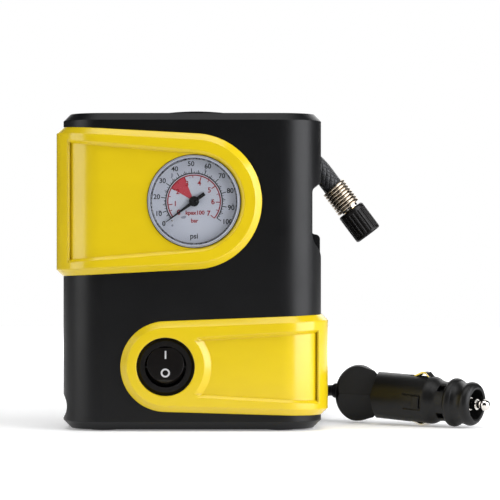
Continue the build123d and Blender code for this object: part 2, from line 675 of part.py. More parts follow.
def cord_gland_route():
    """From the strain relief down to the floor and on to the coil."""
    start = gland_plane().origin + gland_plane().z_dir * 23
    x = GLAND[0]
    return [tuple(start), (x, start.Y + 10.4, start.Z - 6.0), (x - 0.4, start.Y + 21, 5.2), (x - 0.4, 83, 3.2),
            (x + 1.2, COIL_CENTRE[1] + 2, 4.0)]


def plug_direction():
    yaw, dip = radians(PLUG_YAW), radians(PLUG_DIP)
    return Vector(cos(yaw) * cos(dip), -sin(yaw) * cos(dip), -sin(dip))


def plug_plane():
    """At the plug's rear end, its normal along the plug towards the tip."""
    side = plug_direction().cross(Vector(0, 0, 1)).normalized()
    return Plane(origin=PLUG_REAR, x_dir=side, z_dir=plug_direction())


def cord_plug_route():
    """From the top of the coil down to the floor and up into the plug's boot."""
    end = PLUG_REAR - plug_direction() * 1.5
    bend = end - plug_direction() * 3.6
    outer = COIL_CENTRE[0] + COIL_MID_R + 7.5
    return [(outer, COIL_CENTRE[1], 19.0), (outer + 0.4, 79, 17.0), (outer - 0.1, 68, 11.5), (outer - 0.6, 58, 6.6),
            (outer - 0.6, 50, 6.4), (56.8, 43.0, 9.8), (58.9, 37.4, 12.9), tuple(bend), tuple(end)]


def cord_coil():
    """The outer shape of the put-away coil."""
    width = COIL_COLUMNS * CORD_D
    height = COIL_LAYERS * CORD_D
    ring = Cylinder(COIL_MID_R + width / 2, height) - Cylinder(COIL_MID_R - width / 2, height + 1)
    ring = fillet(ring.edges().filter_by(GeomType.CIRCLE), 2.2)
    return Pos(*COIL_CENTRE, COIL_LOW + height / 2) * ring


def cord_tie():
    """A strap round the coil's section, on its far side."""
    x, y = COIL_CENTRE
    y0, y1 = y + COIL_MID_R - 10.7, y + COIL_MID_R + 10.3
    strap = box(x - 4, x + 4, y0 - 1.2, y1 + 1.2, 0.1, 22.9) - box(x - 5, x + 5, y0, y1, 1.3, 21.7)
    return strap


def plug_profile():
    """Half section of the plug shell: bulbous grip, barrel, shoulder and the bore inside."""
    outer = [
        Line((2.5, 2.6), (2.5, 5.6)),
        ThreePointArc((2.5, 5.6), (5.1, 10.5), (9.8, 12.7)),
        ThreePointArc((9.8, 12.7), (12.3, 12.45), (14.6, 11.7)),
        Line((14.6, 11.7), (19.0, 10.3)),
        Line((19.0, 10.3), (48.0, 10.5)),
        ThreePointArc((48.0, 10.5), (50.2, 10.35), (51.8, 9.7)),
        ThreePointArc((51.8, 9.7), (53.6, 8.95), (55.6, 8.7)),
        Line((55.6, 8.7), (59.0, 8.6)),
        Line((59.0, 8.6), (59.0, 5.6)),
        Line((59.0, 5.6), (23.8, 5.6)),
        Line((23.8, 5.6), (23.8, 2.6)),
        Line((23.8, 2.6), (2.5, 2.6)),
    ]
    return make_face(Wire(outer))


def around_axis(section):
    """Turn a section of (distance along, radius) about the plug's own axis, which is local Z."""
    upright = Plane(origin=(0, 0, 0), x_dir=(0, 0, 1), z_dir=(0, 1, 0))
    return revolve(upright * section, Axis.Z, 360)


def plug_shell():
    """The whole plug shell in its own frame: local X is the side towards the front, local Y is down."""
    shell = around_axis(plug_profile())
    for side in (-1, 1):
        for turn in (-30, 30):
            facet = Rot(0, 0, turn) * Pos(side * 17.4, 0, 8.0) * Rot(0, side * -27, 0) * Box(12, 40, 34)
            shell = shell - facet
    for side in (-1, 1):
        window = Pos(0, side * 9.0, 44.0) * Box(5.4, 8.0, 11.2)
        shell = shell - window
        shell = shell - Pos(side * 10.2, 0.8, 48.2) * Box(2.0, 6.8, 0.6)
        for edge in (-3.1, 3.1):
            shell = shell - Pos(side * 10.2, 0.8 + edge, 44.1) * Box(2.0, 0.6, 8.8)
        shell = shell + Pos(side * 9.9, 0.8, 46.1) * Box(1.6, 5.3, 3.4)
    for step in range(4):
        vent = Rot(0, 0, 45 + 90 * step) * Pos(8.4, 0, 56.7) * Box(4.0, 3.4, 3.2)
        shell = shell - vent
    return shell


def plug_half(side):
    half = plug_shell() & Pos(side * 20, 0, 30) * Box(40, 60, 90)
    return plug_plane() * half


def plug_boot():
    """The rubber boot at the cord's end, with its collar inside the shell."""
    boot = Pos(0, 0, -0.05) * Cylinder(3.35, 4.7)
    boot = chamfer(boot.edges().sort_by(Axis.Z)[0], 0.4)
    groove = Pos(0, 0, -0.4) * (Cylinder(4, 0.6) - Cylinder(2.95, 1))
    return plug_plane() * (boot - groove)


def plug_cap():
    """The threaded end cap that holds the fuse and the centre pin."""
    section = make_face(Wire([
        Line((59.2, 6.4), (59.2, 9.4)),
        ThreePointArc((59.2, 9.4), (59.7, 10.3), (60.7, 10.65)),
        ThreePointArc((60.7, 10.65), (62.0, 10.35), (63.0, 9.6)),
        ThreePointArc((63.0, 9.6), (65.2, 9.0), (67.4, 9.3)),
        ThreePointArc((67.4, 9.3), (70.1, 9.2), (71.5, 7.4)),
        Line((71.5, 7.4), (71.3, 6.6)),
        Line((71.3, 6.6), (64.8, 6.2)),
        Line((64.8, 6.2), (64.8, 3.0)),
        Line((64.8, 3.0), (61.8, 3.0)),
        Line((61.8, 3.0), (61.8, 6.4)),
        Line((61.8, 6.4), (59.2, 6.4)),
    ]))
    return plug_plane() * around_axis(section)


def plug_pin():
    """The sprung centre contact: a collar, a neck and a ball tip."""
    pin = Pos(0, 0, 63.6) * Cylinder(2.9, 9.8) + Pos(0, 0, 70.0) * Cylinder(2.4, 3.2)
    pin = pin + Pos(0, 0, 72.6) * Cylinder(1.7, 2.4) + Pos(0, 0, 59.5) * Cylinder(4.6, 1.6)
    return plug_plane() * (pin + Pos(0, 0, 75.2) * Sphere(2.5))


def plug_fuse():
    return plug_plane() * Pos(0, 0, 43.65) * Cylinder(3.1, 30.0)


def plug_spring():
    return plug_plane() * spring_stack(2.8, 0.4, 23.9, 26.5, 3)


def plug_contact(side, reach):
    """A bent leaf contact that stands proud of the barrel and presses in."""
    points = [(39.4, 9.1), (39.4, 9.7), (44.2, reach), (46.4, reach), (48.7, 10.0), (48.7, 9.2),
              (46.0, reach - 0.7), (44.5, reach - 0.7)]
    upright = Plane(origin=(-2.3, 0, 0), x_dir=(0, 0, 1), z_dir=(1, 0, 0))
    strip = extrude(upright * make_face(Polyline(*[(s, -side * r) for s, r in points], close=True)), 4.6)
    return plug_plane() * strip


def main():
    os.makedirs("parts", exist_ok=True)
    makers = [
        front_shell, rear_shell, upper_trim, lower_trim, top_cap, rubber_feet, housing_screws, gauge_case,
        gauge_lens, gauge_dial, gauge_stop, gauge_needle, bourdon_tube, switch_body, switch_rocker,
        switch_terminals, motor_can, motor_end_cap, motor_magnets, motor_armature, motor_pinion, crank_gear,
        frame_plate, gear_axle, motor_screws, piston_rod, cup_seal, crank_pin, cylinder, head_gasket,
        cylinder_head, head_screws, outlet_valve, valve_spring, outlet_elbow, gauge_tube, wiring, cord_gland,
        hose_spring, hose_ferrule, chuck_core, chuck_knob, chuck_seal, cord_coil, cord_tie, plug_boot,
        plug_cap, plug_pin, plug_fuse, plug_spring,
    ]
    for maker in makers:
        save(maker.__name__, maker())
    save("air_hose", swept_tube("air_hose", hose_route(), HOSE_D))
    save("cord_from_gland", swept_tube("cord_from_gland", cord_gland_route(), CORD_D))
    save("cord_to_plug", swept_tube("cord_to_plug", cord_plug_route(), CORD_D))
    save("plug_shell_front", plug_half(1))
    save("plug_shell_back", plug_half(-1))
    save("plug_contact_top", plug_contact(-1, 12.2))
    save("plug_contact_low", plug_contact(1, 11.45))


main()
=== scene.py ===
import json
import math

import bmesh
import bpy
from mathutils import Matrix, Vector


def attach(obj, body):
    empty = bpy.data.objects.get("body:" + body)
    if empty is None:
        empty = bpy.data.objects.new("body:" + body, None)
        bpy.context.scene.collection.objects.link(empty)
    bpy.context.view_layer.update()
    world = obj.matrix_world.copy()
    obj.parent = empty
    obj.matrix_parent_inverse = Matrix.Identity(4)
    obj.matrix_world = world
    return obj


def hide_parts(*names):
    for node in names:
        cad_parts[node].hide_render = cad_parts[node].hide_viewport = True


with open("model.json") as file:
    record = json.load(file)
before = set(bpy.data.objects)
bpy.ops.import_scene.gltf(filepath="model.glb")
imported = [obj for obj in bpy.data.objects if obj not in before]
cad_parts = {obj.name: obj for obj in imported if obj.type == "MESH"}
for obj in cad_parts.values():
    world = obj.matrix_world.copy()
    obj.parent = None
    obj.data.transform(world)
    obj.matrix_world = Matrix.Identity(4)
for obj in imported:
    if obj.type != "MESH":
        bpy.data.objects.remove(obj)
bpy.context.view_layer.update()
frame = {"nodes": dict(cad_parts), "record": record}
NODES = frame["nodes"]

# Portable tire inflator. Places are in metres, X to the right, -Y to the front, +Z up.
FRONT_Y = -0.02945
CAMERA_PLACE = (0.0251, -1.02945, 0.0776)
CAMERA_LENS = 168.4
FLOOR_RADIUS = 0.84
FLOOR_MIDDLE_Y = 0.5

GAUGE = Vector((0.00115, FRONT_Y, 0.0984))
DIAL_Y = FRONT_Y + 0.0012
PRINT_LIFT = 0.00003
LENS_RIM_R = 0.01845
SWITCH = Vector((-0.01095, FRONT_Y + 0.0015, 0.02775))
ROCKER_TILT = math.radians(-15)
ROCKER_DISH_R = 0.06
ROCKER_DISH_Y = -0.0646

HOSE_Y = 0.02755
HOSE_D = 0.0092
CHUCK_START = Vector((0.0704, HOSE_Y, 0.0957))
CHUCK_AXIS = Vector((0.599, 0, -0.8007)).normalized()
SPRING_WIRE_R = 0.00062
SPRING_TURNS = 8

CORD_D = 0.005
COIL_CENTRE = (0.019, 0.090)
COIL_OUTER_R = 0.0375
COIL_LOWEST = 0.004
COIL_TURNS = 13.5
COIL_POINTS_PER_TURN = 16


# ---------------------------------------------------------------- camera, floor and light


def aim(obj, target):
    obj.rotation_euler = (Vector(target) - obj.location).to_track_quat("-Z", "Y").to_euler()


def add_camera():
    data = bpy.data.cameras.new("camera")
    data.lens = CAMERA_LENS
    data.sensor_width = 36
    data.clip_start = 0.05
    data.clip_end = 30
    camera = bpy.data.objects.new("camera", data)
    bpy.context.scene.collection.objects.link(camera)
    camera.location = CAMERA_PLACE
    camera.rotation_euler = (math.radians(90), 0, 0)
    bpy.context.scene.camera = camera


def add_softbox(name, place, target, width, height, power, tint=(1, 1, 1)):
    data = bpy.data.lights.new(name, "AREA")
    data.shape = "RECTANGLE"
    data.size = width
    data.size_y = height
    data.energy = power
    data.color = tint
    light = bpy.data.objects.new(name, data)
    bpy.context.scene.collection.objects.link(light)
    light.location = place
    light.visible_camera = False
    aim(light, target)


def add_world():
    """White all round for the eye, and a dim even fill for everything it lights."""
    world = bpy.data.worlds.new("studio")
    bpy.context.scene.world = world
    world.use_nodes = True
    tree = world.node_tree
    tree.nodes.clear()
    seen = tree.nodes.new("ShaderNodeBackground")
    seen.inputs["Color"].default_value = (1, 1, 1, 1)
    seen.inputs["Strength"].default_value = 1.0
    fill = tree.nodes.new("ShaderNodeBackground")
    fill.inputs["Color"].default_value = (0.94, 0.97, 1, 1)
    fill.inputs["Strength"].default_value = 0.03
    path = tree.nodes.new("ShaderNodeLightPath")
    mix = tree.nodes.new("ShaderNodeMixShader")
    out = tree.nodes.new("ShaderNodeOutputWorld")
    tree.links.new(path.outputs["Is Camera Ray"], mix.inputs["Fac"])
    tree.links.new(fill.outputs[0], mix.inputs[1])
    tree.links.new(seen.outputs[0], mix.inputs[2])
    tree.links.new(mix.outputs[0], out.inputs["Surface"])


def add_studio():
    add_camera()
    add_world()
    bpy.context.scene.view_settings.view_transform = "Standard"
    middle = (0, 0, 0.07)
    add_softbox("box_right", (0.70, -0.34, 0.20), middle, 0.7, 0.9, 11.0, (0.96, 0.97, 1.0))
    add_softbox("box_left", (-0.72, -0.30, 0.20), middle, 0.5, 0.9, 3.8)
    add_softbox("box_top", (0.0, -0.25, 0.95), middle, 0.9, 0.7, 5)
    add_softbox("box_back", (0.1, 0.95, 0.5), middle, 1.0, 0.6, 4)
    add_floor()


def add_floor():
    """A pale round table top that ends just in front of the view."""
    count = 96
    angles = [2 * math.pi * number / count for number in range(count)]
    rim = [(FLOOR_RADIUS * math.cos(a), FLOOR_MIDDLE_Y + FLOOR_RADIUS * math.sin(a), 0) for a in angles]
    mesh = bpy.data.meshes.new("floor")
    mesh.from_pydata(rim, [], [range(count)])
    floor = bpy.data.objects.new("floor", mesh)
    bpy.context.scene.collection.objects.link(floor)
    mesh.materials.append(floor_paint())


def floor_paint():
    """Pale matte paint with a painted glow that grows brighter away from the object, as the light on a lit
    sweep does.
    """
    paint = Paint("floor_paint", Emission_Color=(1, 1, 1, 1))
    cloud = paint.noise(3, 3, 0.5)
    paint.colour(paint.blend(paint.spread(cloud, 0.0, 1.0), (0.92, 0.92, 0.92), (0.9, 0.9, 0.91)))
    paint.roughness(paint.spread(cloud, 0.6, 0.7))
    distance = paint.tree.nodes.new("ShaderNodeVectorMath")
    distance.operation = "LENGTH"
    paint.join(paint.place.outputs["Object"], distance.inputs[0])
    # Painted light: the floor's emission is dimmer near the object and brighter away from it, in place of
    # how a lit sweep is lit.
    glow = paint.tree.nodes.new("ShaderNodeMapRange")
    for socket, value in (("From Min", 0.2), ("From Max", 0.75), ("To Min", 0.25), ("To Max", 1.0)):
        glow.inputs[socket].default_value = value
    paint.join(distance.outputs["Value"], glow.inputs["Value"])
    paint.join(glow.outputs["Result"], paint.shader.inputs["Emission Strength"])
    return paint.material


# ---------------------------------------------------------------- materials


class Paint:
    """A node material round one Principled shader, with object coordinates in metres."""

    def __init__(self, name, **sockets):
        self.material = bpy.data.materials.new(name)
        self.material.use_nodes = True
        self.tree = self.material.node_tree
        self.shader = self.tree.nodes["Principled BSDF"]
        self.place = self.tree.nodes.new("ShaderNodeTexCoord")
        for socket, value in sockets.items():
            self.shader.inputs[socket.replace("_", " ")].default_value = value

    def join(self, source, target):
        self.tree.links.new(source, target)

    def noise(self, scale, detail=3, roughness=0.5, stretch=None):
        texture = self.tree.nodes.new("ShaderNodeTexNoise")
        texture.inputs["Scale"].default_value = scale
        texture.inputs["Detail"].default_value = detail
        texture.inputs["Roughness"].default_value = roughness
        place = self.place.outputs["Object"]
        if stretch:
            mapping = self.tree.nodes.new("ShaderNodeMapping")
            mapping.inputs["Scale"].default_value = stretch
            self.join(place, mapping.inputs["Vector"])
            place = mapping.outputs["Vector"]
        self.join(place, texture.inputs["Vector"])
        return texture.outputs["Fac"]

    def math(self, operation, a, b=0.5):
        node = self.tree.nodes.new("ShaderNodeMath")
        node.operation = operation
        for index, value in enumerate((a, b)):
            if hasattr(value, "is_linked"):
                self.join(value, node.inputs[index])
            else:
                node.inputs[index].default_value = value
        return node.outputs[0]

    def spread(self, fac, low, high):
        """A noise's useful middle range, stretched from low to high."""
        node = self.tree.nodes.new("ShaderNodeMapRange")
        node.inputs["From Min"].default_value = 0.3
        node.inputs["From Max"].default_value = 0.7
        node.inputs["To Min"].default_value = low
        node.inputs["To Max"].default_value = high
        self.join(fac, node.inputs["Value"])
        return node.outputs["Result"]

    def blend(self, fac, first, second):
        """Two colours, or two colour sockets, mixed by a factor."""
        node = self.tree.nodes.new("ShaderNodeMix")
        node.data_type = "RGBA"
        self.join(fac, node.inputs["Factor"])
        for socket, value in zip((6, 7), (first, second)):
            if hasattr(value, "is_linked"):
                self.join(value, node.inputs[socket])
            else:
                node.inputs[socket].default_value = (*value, 1)
        return node.outputs[2]

    def colour(self, source):
        self.join(source, self.shader.inputs["Base Color"])

    def roughness(self, source):
        self.join(source, self.shader.inputs["Roughness"])

    def soften(self, radius_mm):
        """The normal of the same shape with its edges rounded over."""
        node = self.tree.nodes.new("ShaderNodeBevel")
        node.samples = 8
        node.inputs["Radius"].default_value = radius_mm / 1000
        return node.outputs["Normal"]

    def bump(self, height, distance, strength=1.0, under=None):
        """Fine relief, on top of the normal under it."""
        node = self.tree.nodes.new("ShaderNodeBump")
        node.inputs["Strength"].default_value = strength
        node.inputs["Distance"].default_value = distance
        self.join(height, node.inputs["Height"])
        if under:
            self.join(under, node.inputs["Normal"])
        self.join(node.outputs["Normal"], self.shader.inputs["Normal"])
        return node.outputs["Normal"]


def surface(name, light, dark, mottle, rough, grain, depth_mm, round_mm=0.15, **sockets):
    """Colour that drifts between two shades, with a fine grain in roughness and relief."""
    paint = Paint(name, **sockets)
    cloud = paint.noise(mottle, 4, 0.6)
    fine = paint.noise(grain, 2, 0.55)
    paint.colour(paint.blend(paint.spread(cloud, 0.0, 1.0), light, dark))
    paint.roughness(paint.spread(fine, *rough))
    paint.bump(fine, depth_mm / 1000, 1.0, paint.soften(round_mm))
    return paint.material


def textured_shell():
    """Black moulding with a spark-eroded grain, slightly polished by handling."""
    paint = Paint("black_shell", Specular_IOR_Level=0.26)
    grain = paint.noise(2600, 3, 0.6)
    pits = paint.noise(900, 2, 0.5)
    cloud = paint.noise(45, 4, 0.6)
    shade = paint.blend(paint.spread(grain, 0.0, 1.0), (0.0026, 0.0027, 0.0031), (0.0044, 0.0045, 0.0050))
    paint.colour(shade)
    handled = paint.spread(cloud, -0.03, 0.03)
    paint.roughness(paint.math("ADD", paint.spread(grain, 0.34, 0.42), handled))
    coarse = paint.bump(pits, 0.00002, 0.5, paint.soften(0.5))
    paint.bump(grain, 0.00003, 0.7, coarse)
    return paint.material


def yellow_gloss():
    """Gloss yellow moulding with faint flow marks and a hair-fine orange peel."""
    paint = Paint("yellow_gloss", Coat_Weight=0.15, Coat_Roughness=0.08)
    flow = paint.noise(22, 3, 0.55, (1.0, 1.0, 2.6))
    peel = paint.noise(420, 2, 0.5)
    dust = paint.noise(2200, 2, 0.7)
    paint.colour(paint.blend(paint.spread(flow, 0.0, 1.0), (0.72, 0.525, 0.0075), (0.68, 0.49, 0.007)))
    paint.roughness(paint.spread(dust, 0.2, 0.27))
    paint.bump(peel, 0.000012, 0.6, paint.soften(0.8))
    return paint.material


def dial_sheet():
    """The dial's pale metallic print, with a soft vertical sheen and stray specks."""
    paint = Paint("dial_sheet", Metallic=0.25, IOR=1.45)
    brushed = paint.noise(900, 3, 0.6, (1, 1, 0.08))
    cloud = paint.noise(70, 3, 0.5)
    speck = paint.noise(420, 1, 0.5)
    base = paint.blend(paint.spread(cloud, 0.0, 1.0), (0.57, 0.60, 0.68), (0.53, 0.56, 0.64))
    dots = paint.math("GREATER_THAN", speck, 0.715)
    paint.colour(paint.blend(dots, base, (0.28, 0.30, 0.36)))
    paint.roughness(paint.spread(brushed, 0.36, 0.5))
    paint.bump(brushed, 0.000006, 0.6)
    return paint.material


def hose_braid():
    """Crossing yarns: one set over, one set under, each with its own fine thread. The over set carries a
    painted highlight, and the under set and the gaps between yarns carry painted shade.
    """
    paint = Paint("hose_braid", Sheen_Weight=0.25, Sheen_Roughness=0.5)
    split = paint.tree.nodes.new("ShaderNodeSeparateXYZ")
    paint.join(paint.place.outputs["UV"], split.inputs[0])
    along, around = split.outputs["X"], split.outputs["Y"]
    turns = paint.math("MULTIPLY", around, 10.0)
    rows = paint.math("MULTIPLY", along, 345.0)
    first = paint.math("SINE", paint.math("MULTIPLY", paint.math("ADD", rows, turns), math.pi))
    second = paint.math("SINE", paint.math("MULTIPLY", paint.math("SUBTRACT", rows, turns), math.pi))
    crossing = paint.math("MULTIPLY", first, second)
    # Painted shade: this diamond pattern darkens the gaps between the yarns in colour, and also gives the
    # yarns their relief.
    diamonds_relief_and_shade = paint.math("POWER", paint.math("ABSOLUTE", crossing), 0.45)
    over = paint.math("GREATER_THAN", crossing, 0.0)
    threads = paint.noise(3000, 2, 0.6)
    # Painted light: the over yarns are coloured lighter as a painted highlight, and the under yarns as dark
    # as the gaps, as painted shade.
    yarn_highlight_and_shade = paint.blend(over, (0.004, 0.0042, 0.005), (0.014, 0.0145, 0.018))
    paint.colour(paint.blend(diamonds_relief_and_shade, (0.004, 0.004, 0.005), yarn_highlight_and_shade))
    paint.roughness(paint.spread(threads, 0.38, 0.6))
    relief = paint.bump(diamonds_relief_and_shade, 0.00035, 0.8)
    paint.bump(threads, 0.00004, 0.5, relief)
    return paint.material


def soft_vinyl(name, light, dark):
    """Black flexible vinyl with a faint extruded grain and scuffed patches."""
    paint = Paint(name)
    scuff = paint.noise(120, 4, 0.65)
    grain = paint.noise(1900, 2, 0.6)
    paint.colour(paint.blend(paint.spread(scuff, 0.0, 1.0), light, dark))
    paint.roughness(paint.math("ADD", paint.spread(grain, 0.36, 0.46), paint.spread(scuff, 0.0, 0.06)))
    paint.bump(grain, 0.00002, 0.6)
    return paint.material


def lens_clear():
    """Clear moulded cap: see-through over the dial, and milky at its thick rim, with two fine lines."""
    paint = Paint("lens_clear", Coat_Weight=0.5, Coat_Roughness=0.05, IOR=1.49)
    split = paint.tree.nodes.new("ShaderNodeSeparateXYZ")
    paint.join(paint.place.outputs["Object"], split.inputs[0])
    across = paint.math("POWER", paint.math("SUBTRACT", split.outputs["X"], GAUGE.x), 2.0)
    upward = paint.math("POWER", paint.math("SUBTRACT", split.outputs["Z"], GAUGE.z), 2.0)
    radius = paint.math("SQRT", paint.math("ADD", across, upward))
    haze = paint.noise(160, 3, 0.6)
    scratches = paint.noise(1500, 2, 0.6, (1, 1, 0.05))
    rim = paint.math("GREATER_THAN", radius, LENS_RIM_R)
    first = paint.math("COMPARE", radius, 0.01855)
    second = paint.math("COMPARE", radius, 0.0193)
    for line, half_width in ((first, 0.00016), (second, 0.0001)):
        line.node.inputs[2].default_value = half_width
    lines = paint.math("MAXIMUM", first, second)
    milk = paint.blend(paint.spread(haze, 0.0, 1.0), (0.44, 0.47, 0.55), (0.37, 0.40, 0.48))
    edge = paint.blend(lines, milk, (0.20, 0.21, 0.25))
    paint.colour(paint.blend(rim, (0.03, 0.032, 0.036), edge))
    alpha = paint.math("ADD", paint.math("MULTIPLY", rim, 0.82), 0.045)
    paint.join(alpha, paint.shader.inputs["Alpha"])
    paint.roughness(paint.spread(scratches, 0.05, 0.12))
    paint.bump(scratches, 0.000002, 0.5)
    return paint.material


# Finishes by the record's material slot: name, two colours, cloud scale, roughness range, grain scale,
# relief in mm, and what the shader's own sockets are set to.
FINISHES = {
    "black_gloss": ("switch_gloss", (0.0045, 0.0038, 0.0036), (0.0065, 0.0056, 0.0053), 160, (0.3, 0.38),
                    1500, 0.002, {"round_mm": 0.3, "Specular_IOR_Level": 0.22}),
    "black_plug": ("plug_satin", (0.0022, 0.0022, 0.0022), (0.0038, 0.0037, 0.0036), 110, (0.36, 0.48),
                   1900, 0.012, {"round_mm": 0.4, "Specular_IOR_Level": 0.3}),
    "steel": ("steel_plated", (0.52, 0.52, 0.54), (0.42, 0.42, 0.44), 150, (0.22, 0.36),
              1200, 0.004, {"Metallic": 1.0}),
    "nickel": ("nickel_bright", (0.80, 0.77, 0.72), (0.70, 0.67, 0.62), 260, (0.10, 0.2),
               900, 0.003, {"Metallic": 1.0}),
    "needle_black": ("needle_black", (0.006, 0.006, 0.007), (0.011, 0.011, 0.012), 400, (0.25, 0.38),
                     1800, 0.004, {}),
    "brass": ("brass_turned", (0.72, 0.53, 0.24), (0.60, 0.42, 0.18), 180, (0.2, 0.34),
              1300, 0.005, {"Metallic": 1.0}),
    "aluminium_cast": ("aluminium_cast", (0.56, 0.56, 0.57), (0.43, 0.43, 0.45), 140, (0.36, 0.55),
                       1100, 0.03, {"Metallic": 1.0}),
    "gear_nylon": ("gear_nylon", (0.78, 0.77, 0.72), (0.70, 0.69, 0.63), 90, (0.35, 0.46),
                   900, 0.008, {"Subsurface_Weight": 0.1}),
    "magnet": ("magnet_ferrite", (0.05, 0.05, 0.052), (0.085, 0.083, 0.08), 260, (0.5, 0.68),
               1600, 0.02, {"Metallic": 0.4}),
    "tie_plastic": ("tie_nylon", (0.016, 0.016, 0.017), (0.024, 0.024, 0.025), 130, (0.3, 0.42),
                    1400, 0.012, {}),
    "glass_fuse": ("fuse_glass", (0.86, 0.9, 0.9), (0.8, 0.85, 0.84), 200, (0.04, 0.1),
                   800, 0.001, {"Alpha": 0.4}),
    "wire_red": ("wire_red", (0.42, 0.016, 0.014), (0.34, 0.011, 0.01), 160, (0.3, 0.42),
                 1500, 0.008, {}),
}


def make_materials():
    """Every finish, by the record's material slot."""
    made = {
        "black_shell": textured_shell(),
        "yellow_trim": yellow_gloss(),
        "dial_print": dial_sheet(),
        "hose_braid": hose_braid(),
        "clear_lens": lens_clear(),
        "cord_pvc": soft_vinyl("cord_vinyl", (0.012, 0.012, 0.0135), (0.018, 0.018, 0.02)),
        "foot_rubber": soft_vinyl("foot_rubber", (0.014, 0.014, 0.014), (0.022, 0.022, 0.021)),
        "seal_rubber": soft_vinyl("seal_rubber", (0.02, 0.02, 0.02), (0.03, 0.029, 0.028)),
    }
    for slot, (*looks, sockets) in FINISHES.items():
        made[slot] = surface(*looks, **sockets)
    return made


def spring_wire():
    """Drawn and plated wire, warm where it mirrors its surroundings."""
    return surface("spring_wire", (0.62, 0.54, 0.44), (0.42, 0.34, 0.25), 500, (0.2, 0.32), 2200, 0.003,
                   Metallic=1.0)


def paint_nodes(materials):
    """Gives each CAD part its finish, by the slot the record names."""
    slots = {part["node"]: part["material_slot"] for part in frame["record"]["subparts"]}
    for name, node in NODES.items():
        node.data.materials.clear()
        node.data.materials.append(materials[slots[name]])


# ---------------------------------------------------------------- cords and the hose


def hose_points():
    """One clockwise lap in the back channel, then out at the upper right and down to the chuck."""
    end = CHUCK_START - CHUCK_AXIS * 0.0026
    bend = CHUCK_START - CHUCK_AXIS * 0.0135
    lap = [(0.0425, 0.088), (0.0425, 0.068), (0.042, 0.034775), (0.016725, 0.009), (-0.021225, 0.009),
           (-0.047, 0.034775), (-0.047, 0.102725), (-0.021225, 0.1285), (0.012, 0.1289), (0.0325, 0.1279),
           (0.0444, 0.1241), (0.055, 0.1164), (bend.x, bend.z), (end.x, end.z)]
    return [(x, HOSE_Y, z) for x, z in lap]


def step(turn, places):
    """How many of the places a turn count has passed, each crossed smoothly."""
    total = 0.0
    for start, end, change in places:
        share = min(max((turn - start) / (end - start), 0.0), 1.0)
        total += change * share * share * (3 - 2 * share)
    return total


def coil_points():
    """The put-away turns, wound in, out, in and out again, one column a turn and four layers deep."""
    columns = []
    for first, change in ((0.30, -CORD_D), (3.75, CORD_D), (7.30, -CORD_D), (10.75, CORD_D)):
        columns += [(first + turn, first + turn + 0.15, change) for turn in range(3)]
    layers = [(start, start + 0.20, CORD_D) for start in (2.95, 6.45, 9.95)]
    points = []
    for index in range(1, int(COIL_TURNS * COIL_POINTS_PER_TURN)):
        turn = index / COIL_POINTS_PER_TURN
        radius = COIL_OUTER_R + step(turn, columns)
        height = COIL_LOWEST + step(turn, layers)
        angle = math.pi - 2 * math.pi * turn
        x = COIL_CENTRE[0] + radius * math.cos(angle)
        points.append((x, COIL_CENTRE[1] + radius * math.sin(angle), height))
    return points


def cord_points():
    """From the strain relief down to the floor, round the coil and back past the corner to the plug."""
    start = [(-0.022, 0.05447, 0.0145), (-0.022, 0.06487, 0.0085), (-0.0224, 0.07547, 0.0052),
             (-0.0224, 0.083, 0.0032)]
    end = [(0.0565, 0.090, 0.019), (0.0569, 0.079, 0.017), (0.0564, 0.068, 0.0115), (0.0559, 0.058, 0.0066),
           (0.0559, 0.050, 0.0064), (0.0568, 0.043, 0.0098), (0.0589, 0.0374, 0.0129),
           (0.06122, 0.03346, 0.01405), (0.06417, 0.0314, 0.01387)]
    return start + coil_points() + end


def spline_object(name, points, radius):
    data = bpy.data.curves.new(name, "CURVE")
    data.dimensions = "3D"
    data.resolution_u = 6
    data.bevel_depth = radius
    data.bevel_resolution = 6
    data.use_fill_caps = True
    spline = data.splines.new("NURBS")
    spline.points.add(len(points) - 1)
    for point, place in zip(spline.points, points):
        point.co = (*place, 1)
    spline.order_u = 3
    spline.use_endpoint_u = True
    obj = bpy.data.objects.new(name, data)
    bpy.context.scene.collection.objects.link(obj)
    return obj


def spline_path(name, points):
    """The points of the route's own smooth line."""
    obj = spline_object(name, points, 0)
    obj.data.resolution_u = 24
    bpy.context.view_layer.update()
    mesh = bpy.data.meshes.new_from_object(obj)
    path = [vertex.co.copy() for vertex in mesh.vertices]
    bpy.data.objects.remove(obj)
    bpy.data.meshes.remove(mesh)
    return path


def spaced(path, gap):
    """The same line with its points an even distance apart, and each point's distance along it."""
    lengths = [0.0]
    for a, b in zip(path, path[1:]):
        lengths.append(lengths[-1] + (b - a).length)
    count = max(2, round(lengths[-1] / gap))
    points = []
    index = 0
    for number in range(count + 1):
        target = lengths[-1] * number / count
        while index < len(path) - 2 and lengths[index + 1] < target:
            index += 1
        share = (target - lengths[index]) / max(lengths[index + 1] - lengths[index], 1e-9)
        points.append(path[index].lerp(path[index + 1], min(max(share, 0.0), 1.0)))
    return points, lengths[-1]


def carried_frames(points, side):
    """A sideways and an upward direction at each point, carried along without twisting."""
    frames = []
    for index, point in enumerate(points):
        ahead = points[min(index + 1, len(points) - 1)] - points[max(index - 1, 0)]
        ahead.normalize()
        side = (side - ahead * side.dot(ahead)).normalized()
        frames.append((point, side.copy(), ahead.cross(side)))
    return frames


def new_piece(name, bm, material, smooth=True):
    mesh = bpy.data.meshes.new(name)
    bm.to_mesh(mesh)
    bm.free()
    for polygon in mesh.polygons:
        polygon.use_smooth = smooth
    mesh.materials.append(material)
    obj = bpy.data.objects.new(name, mesh)
    bpy.context.scene.collection.objects.link(obj)
    return obj


